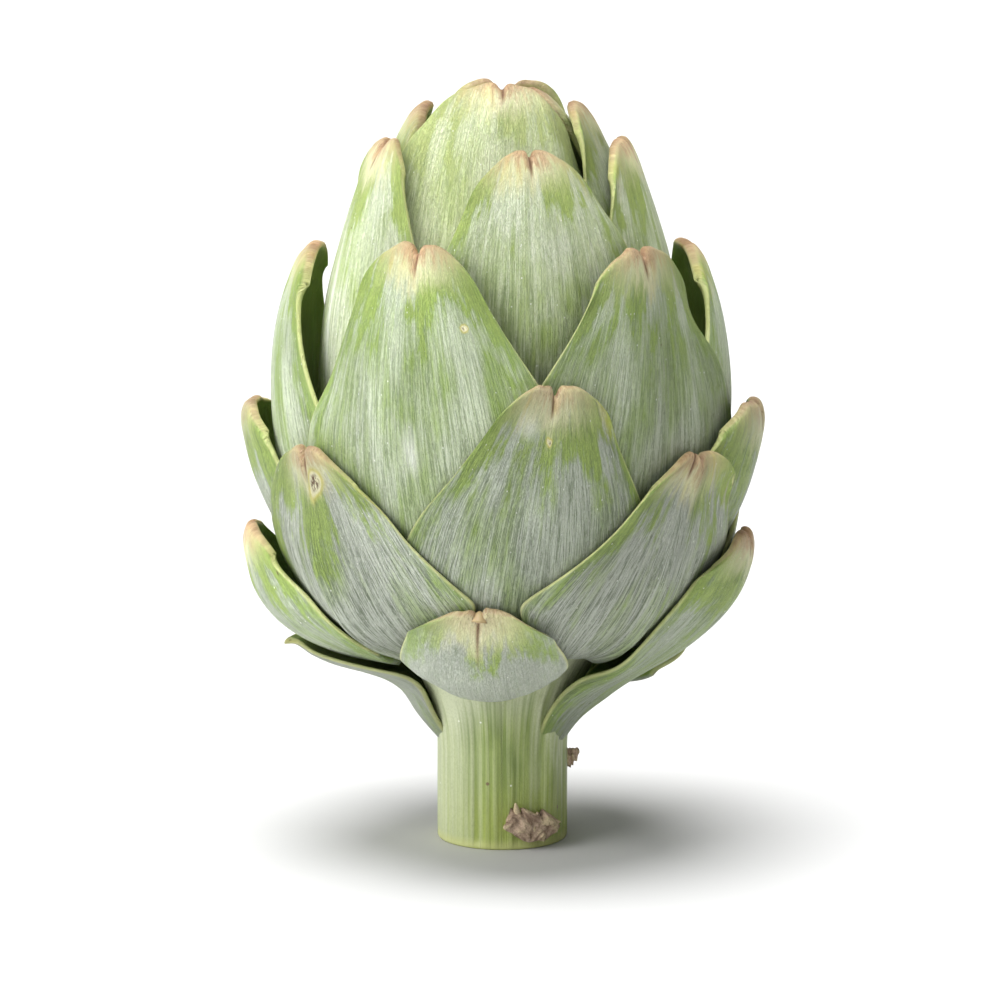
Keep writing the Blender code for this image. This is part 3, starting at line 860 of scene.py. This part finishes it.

# %% [markdown]
# ## The finish of what has dried
# The scale at the foot of the stem and the torn stub have no water left in them. They are
# pinkish brown, wrinkled like paper and straw-coloured on the ridges, and their folds are darkened
# nearly to black as painted shade.
# The folds are in the mesh, so the finish only needs to follow a noise on the object's own
# coordinates.

# %% Dried finish
def dried_finish(name):
    """The finish of the dried pieces, which follows the folds in the mesh."""
    make = Nodes(name)
    place = make.node("ShaderNodeTexCoord", "Object")
    patches = make.node("ShaderNodeTexNoise", "Fac", Vector=place, Scale=420.0, Detail=4.0,
                        Roughness=0.65)
    grain = make.node("ShaderNodeTexNoise", "Fac", Vector=place, Scale=1700.0, Detail=4.0,
                      Roughness=0.7)
    ridge = make.layer("ridge")
    colour = make.blend(make.ramp(patches, 0.35, 0.62), tint(140, 116, 96), tint(196, 172, 148))
    colour = make.coats(colour,
                        (make.ramp(ridge, 0.2, 0.9), tint(206, 188, 152)),
                        # the folds darkened nearly to black: painted shade
                        (make.ramp(ridge, -0.9, -0.2, 0.8, 0.0), tint(74, 56, 44)),
                        (make.product(make.lines(grain, 0.05), 0.5), tint(96, 72, 54)))
    return make.finish(colour, make.ramp(grain, 0.3, 0.7, 0.65, 0.9), grain, 0.7, 0.0003)


FINISHES["dried_leaf"] = dried_finish("dried_leaf")

# %% [markdown]
# ## Stem and inner bud
# The stem and the heart are one piece that grew round an axis. A Screw modifier would turn its
# profile; here the profile is carried round by the same two lines of numpy that the leaves use,
# so ribs can be added to the radius at once. The ribs are a few waves of different width, and
# one stronger rib comes down from the base of the leaf on the right. The bud inside the leaves
# is a cone too, but a few small leaves are wound round its top as low steps in its radius.

# %% Turned pieces
SIDES = 240
CUT_BEVEL = 0.5
CUT_DISH = 0.25                # how far the cut face is hollowed
RIBS = ((7, 0.10, 0.3), (12, 0.09, 1.9), (19, 0.07, 4.0), (31, 0.05, 2.2), (47, 0.03, 5.1))
LEAF_RIB = 48, 10, 0.55        # azimuth, half width in degrees, height
BUD_LEAVES = 6
BUD_LEAF_WIDTH = 17.0          # half its width, BUD_LEAF_LENGTH below its tip
BUD_LEAF_LENGTH = 40
BUD_LEAF_STEP = 1.1            # how much lower each tip is than the last
BUD_FOLD = 0.28                # how much each small leaf raises the bud
BUD_LEAF_RIM = 0.25
GOLDEN_ANGLE = 137.5
FAR = 9.0                      # from an edge, where a finish shows nothing of it


def turned(radius, height):
    """Rings of points: the profile's radius and height carried round the upright axis."""
    turn = np.linspace(0, 2 * np.pi, SIDES, endpoint=False)[:, None]
    return np.stack([radius * np.sin(turn), -radius * np.cos(turn), height + 0 * turn], axis=-1)


def wrapped(points, rings, radius):
    """The map of a turned piece: millimetres round it, at one radius, and up it."""
    turn = np.repeat(np.linspace(0, 2 * np.pi, SIDES, endpoint=False), rings)
    return np.stack([np.append(turn, [0, 0]) * radius, points[:, 2]], axis=1)


def heart_profile():
    """Radius and height: the dished cut, the straight stem, a Bezier curve out, an oval top."""
    cut = np.linspace(0.6, STEM_RADIUS - CUT_BEVEL, 14)
    face = np.stack([cut, CUT_DISH * (1 - (cut / cut[-1]) ** 2)], axis=1)
    bevel = np.array([[STEM_RADIUS - 0.18, 0.1], [STEM_RADIUS - 0.05, 0.28]])
    foot = np.stack([np.full(40, STEM_RADIUS), np.linspace(CUT_BEVEL, STEM_TOP, 40)], axis=1)[:-1]
    side = bernstein(((STEM_RADIUS, STEM_TOP), (STEM_RADIUS, 27), (16, 31),
                      (HEART_RADIUS, HEART_HEIGHT)), np.linspace(0, 1, 60))
    dome = np.linspace(0, np.pi / 2, 12)[1:-1]
    top = np.stack([HEART_RADIUS * np.cos(dome),
                    HEART_HEIGHT + (HEART_TOP - HEART_HEIGHT) * np.sin(dome)], axis=1)
    return np.vstack([face, bevel, foot, side, top]), len(face)


def ribbed(profile, cut_rings):
    """The turned profile with its radius raised by waves and by one bell-shaped rib.

    The waves grow from the bevel and fade out over the heart, and the rib is strongest just
    below the leaf that it belongs to.
    """
    turn = np.linspace(0, 360, SIDES, endpoint=False)[:, None]
    waves = sum(height * np.cos(np.radians(count * turn) + phase) for count, height, phase in RIBS)
    up = profile[:, 1]
    fade = (up / 1.5).clip(0, 1) * ((34 - up) / 8).clip(0, 1)
    azimuth, width, height = LEAF_RIB
    away = (turn - azimuth + 180) % 360 - 180
    rib = height * bump(away, width) * (up / 12).clip(0, 1) * ((32 - up) / 8).clip(0, 1)
    raised = (waves * fade + rib) * (np.arange(len(up)) >= cut_rings)
    return turned(profile[:, 0] + raised, up)


def folded(points):
    """How far the small leaves of the bud raise it, and how far each point is from an edge.

    Each small leaf is a pointed outline on the bud, as wide as the square root of what is left
    above, and each lies over the one before it, a golden angle further round.
    """
    azimuth = np.degrees(np.arctan2(points[..., 0], -points[..., 1]))
    raised, nearest = 0 * azimuth, np.full(azimuth.shape, FAR)
    for step in range(BUD_LEAVES):
        top = BUD_TOP - BUD_LEAF_STEP * step - 0.5
        away = np.radians((azimuth - GOLDEN_ANGLE * step + 180) % 360 - 180)
        aside = np.abs(away) * np.hypot(points[..., 0], points[..., 1])
        share = (top - points[..., 2]).clip(0) / BUD_LEAF_LENGTH
        room = BUD_LEAF_WIDTH * np.sqrt(share) - aside
        on_leaf = (room / BUD_LEAF_RIM).clip(0, 1)
        raised = raised * (1 - on_leaf) + on_leaf * (BUD_FOLD * (1 + step))
        nearest = np.where(room > 0, np.minimum(room, FAR), np.minimum(nearest, -room + 0.3))
    return raised, nearest


profile, cut_rings = heart_profile()
stem_points = ribbed(profile, cut_rings)
points, faces = fanned(stem_points)
ring_number = np.append(np.tile(np.arange(len(profile)), SIDES), [0, len(profile)])
stem = mesh_piece("stem_and_heart_skin", points, faces, FINISHES["stem_skin"],
                  wrapped(points, len(profile), STEM_RADIUS),
                  {"cut": (ring_number < cut_rings).astype(float)})
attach(stem, "root")
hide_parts("stem_and_heart")

# %% The inner bud
BUD_MAP_RADIUS = 15
bud_line = bernstein(((15, HEART_TOP + GAP), (25, 55), (26, 112), (3.0, BUD_TOP)),
                     np.linspace(0, 1, 160))
bud_points = turned(bud_line[:, 0], bud_line[:, 1])
bud_fold, bud_edge = folded(bud_points)
bud_points[..., :2] *= (1 + bud_fold / bud_line[:, 0])[..., None]
points, faces = fanned(bud_points)
even = dict(outside=1.0, aside=20.0, tone=1.0, dry=0.0, pale=0.0)
bud_layers = {"edge": np.append(bud_edge.ravel(), [FAR, FAR]), "to_tip": BUD_TOP + 4 - points[:, 2],
              **{layer: np.full(len(points), value) for layer, value in even.items()}}
bud = mesh_piece("inner_bud_leaf", points, faces, FINISHES["bud_leaf"],
                 wrapped(points, len(bud_line), BUD_MAP_RADIUS), bud_layers)
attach(bud, "root")
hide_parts("inner_bud")
for rings in (stem_points, bud_points):
    lay(resampled(np.concatenate([rings, rings[:1]]), 3))
print("stem and bud:", len(stem.data.polygons), "and", len(bud.data.polygons), "faces")

# %% [markdown]
# ## All the leaves
# Now the rows of the table become leaves, from the inside out, because each one is pressed
# against those laid before it. Every leaf draws its own unevenness from a seeded generator, so
# the head comes out the same each time. Some leaves also have marks of their own: a pale scar,
# or a spot that has dried. Those are bell-shaped stains stored on the points, given by how far
# aside of the midrib and how far below the tip they lie and by their half width and length.

# %% Marks, tones and painted light
SEED = 11
RUNNING_SINK = 3.6       # how deep the base of a running leaf goes into the stem
RUNNING_FOOT = 0.24      # the share of its length that sinks
MAP_STEP = 100           # how far apart the leaves lie on the pattern map
WIDTH_WAVER = 0.02
RAGGED_TIP = 14, 2, 0.35
THORNS = {"foot_bract_1": (1.1, 1.5), "foot_bract_3": (1.4, 0.9), "foot_bract_4": (1.6, 0.9)}
DRY_SPOTS = {"skirt_bract_4": ((1.8, 6.5, 1.9, 2.4),), "belly_bract_1": ((-3.0, 9.0, 1.2, 1.6),),
             "shoulder_bract_6": ((8.5, 15.0, 0.7, 0.8),), "belly_bract_5": ((0.0, 8.2, 0.5, 0.8),)}
PALE_SPOTS = {"shoulder_bract_6": ((-1.5, 35.0, 1.3, 3.6),), "belly_bract_5": ((-3.5, 7.5, 1.6, 2.2),),
              "upper_bract_3": ((-3.0, 30.0, 0.8, 12.0),)}
# how light a leaf is beside the rest of its ring: partly its own tone, partly painted light and shade
TONES_AND_PAINTED_LIGHT = {"upper_bract_3": 1.2, "upper_bract_4": 1.2, "shoulder_bract_3": 1.15,
          "shoulder_bract_4": 1.12, "shoulder_bract_5": 0.88, "shoulder_bract_6": 1.12,
          "belly_bract_4": 0.85, "belly_bract_5": 0.9, "collar_bract_3": 1.3,
          "foot_bract_1": 1.1, "foot_bract_2": 0.8}
# the side, 1 for the right, and the share of the half width that is taken off it by the tip
TRIMMED = {"skirt_bract_5": (1, 0.5), "collar_bract_4": (-1, -0.4), "foot_bract_2": (1, -0.2)}


def stains(spots, aside, to_tip):
    """The sum of bell curves round the given places."""
    total = 0 * aside
    for middle, below, half_width, half_length in spots:
        total += np.exp(-(((aside - middle) / half_width) ** 2)
                        - ((to_tip - below) / half_length) ** 2)
    return total


# %% The loop over the leaves
for number, bract in enumerate(BRACTS):
    rng = np.random.default_rng(SEED + number)
    widen = WIDTH_WAVER * uneven(rng, ACROSS, ALONG, 2, 9, 1.0)
    side, trim = TRIMMED.get(bract.name, (1, 0.0))
    widen = widen - trim * ((side * ACROSS > 0)[:, None] * ALONG)
    ragged = uneven(rng, ACROSS, ALONG, *RAGGED_TIP)
    face, square = blade(bract, ACROSS, ALONG, widen, ragged)
    face = pressed_out(face, ACROSS, ALONG)
    if bract.family is RUNNING:
        # the base of a running leaf sinks into the stem, so that it grows out of it
        out = bearings(np.array(float(bract.azimuth)))[0]
        share = ((RUNNING_FOOT - ALONG) / RUNNING_FOOT).clip(0, 1)
        face = face - out * (RUNNING_SINK * share**1.5)[None, :, None]
    inner, outer = two_skins(bract, face, square, rng)
    points, faces, outside, inside = shell(inner, outer)
    to_side, to_tip, to_base, aside = distances(face)
    # each leaf's tone, which also carries painted light and shade
    tone = TONES_AND_PAINTED_LIGHT.get(bract.name, 1.0)
    fibre = 0.5 * aside + 0.5 * ACROSS[:, None] * bract.family.widths[1]
    stack = np.zeros((len(points), 2 + len(LAYERS)))
    values = np.stack([fibre + MAP_STEP * number, to_base, np.minimum(to_side, to_tip), to_tip,
                       0 * fibre, aside, 0 * fibre + tone,
                       stains(DRY_SPOTS.get(bract.name, ()), aside, to_tip),
                       stains(PALE_SPOTS.get(bract.name, ()), aside, to_tip)], axis=-1)
    stack[inside] = values
    values[..., 2 + LAYERS.index("outside")] = 1
    stack[outside] = values
    if bract.name in THORNS:
        reach_up, girth = THORNS[bract.name]
        root = outer[COLUMNS // 2, -3]
        heading = outer[COLUMNS // 2, -1] - outer[COLUMNS // 2, -8]
        heading /= np.linalg.norm(heading)
        rings = stalk(root - heading, root + heading * reach_up, girth)
        thorn, thorn_faces = fanned(rings)
        points, faces = joined([(points, faces), (thorn, thorn_faces)])
        tip_row = [MAP_STEP * number, 60, 0.5, 0.8, 1, 0.24, tone, 0, 0]
        stack = np.concatenate([stack, np.tile(tip_row, (len(thorn), 1))])
    family = bract.name.split("_")[0] + "_leaf"
    piece = mesh_piece(bract.name.replace("bract", "leaf"), points, faces, FINISHES[family],
                       stack[:, :2], dict(zip(LAYERS, stack[:, 2:].T)))
    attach(piece, "root")
    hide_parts(bract.name)
    lay(resampled(outer, 2))
    low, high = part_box(bract.name)
    print(bract.name, np.round(points.min(axis=0) - np.array(low) / MM, 1),
          np.round(points.max(axis=0) - np.array(high) / MM, 1))

# %% [markdown]
# ## The dried scale and the torn stub
# Low on the stem sits what is left of a small leaf: two crumpled lobes, with a straw-coloured
# prong beside them. Cloth simulation could crumple it, but it is 8 mm wide, and a few strong
# random folds in the same leaf formula do it in one step. On the right is a stub, as rough as
# the place where a leaf tore off.

# %% Crumpled lobes
SCAR = Family((12.0, 1.6), (12.2, 4), (12.9, 6), (2.0, 4.4, 4.2, 1.8), (12, 11, 9), 0.8, 0.6)
LOBES = (Bract("right_lobe", SCAR, 35, (13.2, 6.6), 0, -2),
         Bract("left_lobe", SCAR, 23, (13.4, 8.0), 0, -12))
LOBE_COLUMNS, LOBE_ROWS = 49, 49
FOLD_HEIGHT = 0.55


def crumpled(bract, rng):
    """A small leaf whose skins are both moved by the same strong random folds."""
    across, along = np.linspace(-1, 1, LOBE_COLUMNS), np.linspace(0, 1, LOBE_ROWS)
    ragged = uneven(rng, across, along, 16, 2, 0.5)
    widen = 0.1 * uneven(rng, across, along, 2, 12, 1.0)
    face, square = blade(bract, across, along, widen, ragged)
    folds = uneven(rng, across, along, 8, 6, FOLD_HEIGHT) + uneven(rng, across, along, 18, 12, 0.25)
    to_side, to_tip, to_base, _ = distances(face)
    edge = np.minimum(np.minimum(to_side, to_tip), to_base)
    half = 0.35 * np.sqrt(1 - (1 - (edge / 0.4).clip(0, 1)) ** 2)
    middle = face + square * (0.6 + folds.clip(-0.45, None))[..., None]
    points, faces, outside, inside = shell(middle - square * half[..., None],
                                           middle + square * half[..., None])
    ridge = np.zeros(len(points))
    ridge[inside] = folds
    ridge[outside] = folds
    return points, faces, ridge / FOLD_HEIGHT


rng = np.random.default_rng(SEED)
lobes = [crumpled(lobe, rng) for lobe in LOBES]
prong_root, prong_tip = bearings(np.array([14.0, 10.0]))[0]
prong = fanned(stalk(prong_root * 11.6 + [0, 0, 5.2], prong_tip * 13.2 + [0, 0, 8.6], 0.9, 0.4))
points, faces = joined([(lobe[0], lobe[1]) for lobe in lobes] + [prong])
ridge = np.concatenate([lobes[0][2], lobes[1][2], np.full(len(prong[0]), 1.2)])
scale = mesh_piece("dried_scale", points, faces, FINISHES["dried_leaf"], None, {"ridge": ridge})
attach(scale, "root")
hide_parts("dry_scale")

# %% The torn stub
STUB_AZIMUTH = 96
STUB_SIDES, STUB_RINGS = 32, 24
stub_out = bearings(np.array(float(STUB_AZIMUTH)))[0]
rings = stalk(stub_out * 11.2 + [0, 0, 13.6], stub_out * 13.7 + [0, 0, 14.6], 1.7, 0.5,
              STUB_SIDES, STUB_RINGS)
rough = uneven(rng, np.linspace(-1, 1, STUB_SIDES), np.linspace(0, 1, STUB_RINGS), 12, 12, 0.35)
axis = rings.mean(axis=0, keepdims=True)
rings = axis + (rings - axis) * (1 + rough[..., None]) * np.array([0.75, 0.75, 1.15])
points, faces = fanned(rings)
stub = mesh_piece("torn_stub", points, faces, FINISHES["dried_leaf"], None,
                  {"ridge": np.append(rough.ravel() * 2 + 0.5, [0.5, 0])})
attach(stub, "root")
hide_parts("leaf_stub")
print("scale and stub:", len(scale.data.polygons), "and", len(stub.data.polygons), "faces")

# %% [markdown]
# ## Floor, light and camera
# A white studio: one very broad light overhead, which the head itself shades from the floor
# round the stem, a softer one from the front left, and a little light from all round that is
# strongest at the front left and dies away at the back right. Area lamps would fade out over
# the floor, so both are sun lamps with a wide angle, whose shadows are as soft as a big softbox
# makes them. The camera looks slightly down at the head.

# %% Floor
FLOOR_RADIUS = 6.0
FLOOR_SIDES = 96
floor_make = Nodes("pale_floor")
floor_make.shader.inputs["Base Color"].default_value = (0.61, 0.61, 0.61, 1)
floor_make.shader.inputs["Roughness"].default_value = 0.8
floor_make.shader.inputs["Specular IOR Level"].default_value = 0.2
turn = np.linspace(0, 2 * np.pi, FLOOR_SIDES, endpoint=False)
rim_points = np.stack([FLOOR_RADIUS * np.cos(turn), FLOOR_RADIUS * np.sin(turn), 0 * turn], axis=1)
floor_mesh = bpy.data.meshes.new("floor")
floor_mesh.from_pydata(rim_points.tolist(), [], [list(range(FLOOR_SIDES))])
floor_mesh.materials.append(floor_make.material)
floor = bpy.data.objects.new("floor", floor_mesh)
bpy.context.scene.collection.objects.link(floor)

# %% Light
WORLD_STRENGTH = 0.75, 0.0          # at the front left and at the back right
TO_BACK_RIGHT = 0.88, 0.47, 0.0
world = bpy.data.worlds.new("studio")
world.use_nodes = True
world.node_tree.nodes["Background"].inputs["Color"].default_value = (1, 1, 1, 1)
sky = world.node_tree.nodes
aim = sky.new("ShaderNodeTexCoord").outputs["Generated"]
side, fall = sky.new("ShaderNodeVectorMath"), sky.new("ShaderNodeMapRange")
side.operation = "DOT_PRODUCT"
side.inputs[1].default_value = TO_BACK_RIGHT
for name, number in zip(("From Min", "From Max", "To Min", "To Max"), (-1, 1, *WORLD_STRENGTH)):
    fall.inputs[name].default_value = number
for output, socket in ((aim, side.inputs[0]), (side.outputs["Value"], fall.inputs["Value"]),
                       (fall.outputs["Result"], sky["Background"].inputs["Strength"])):
    world.node_tree.links.new(output, socket)
bpy.context.scene.world = world


def soft_light(name, towards, spread, strength):
    """A sun lamp that shines from the given direction over an angle of spread degrees."""
    data = bpy.data.lights.new(name, "SUN")
    data.energy = strength
    data.angle = np.radians(spread)
    light = bpy.data.objects.new(name, data)
    light.rotation_mode = "QUATERNION"
    light.rotation_quaternion = Vector(towards).to_track_quat("Z", "Y")
    bpy.context.scene.collection.objects.link(light)


soft_light("overhead", (-0.08, 0.08, 1.0), 44, 4.6)
soft_light("front_left", (-0.82, -0.44, 0.42), 46, 1.9)

# %% Camera
height = (cad_box[1] - cad_box[0]).z
LOOK_AT = 0.449 * height
STAND_BACK = 1.2
RAISED = np.radians(11.3)
HALF_PICTURE = 0.0875
camera_data = bpy.data.cameras.new("camera")
camera = bpy.data.objects.new("camera", camera_data)
bpy.context.scene.collection.objects.link(camera)
target = Vector((-0.0004, 0, LOOK_AT))
back = Vector((0, -np.cos(RAISED), np.sin(RAISED)))
camera.location = target + back * STAND_BACK
camera.rotation_mode = "QUATERNION"
camera.rotation_quaternion = (-back).to_track_quat("-Z", "Y")
camera_data.angle = 2 * np.arctan(HALF_PICTURE / STAND_BACK)
camera_data.clip_start = 0.01
camera_data.clip_end = 50
bpy.context.scene.camera = camera
bpy.context.scene.view_settings.view_transform = "Standard"
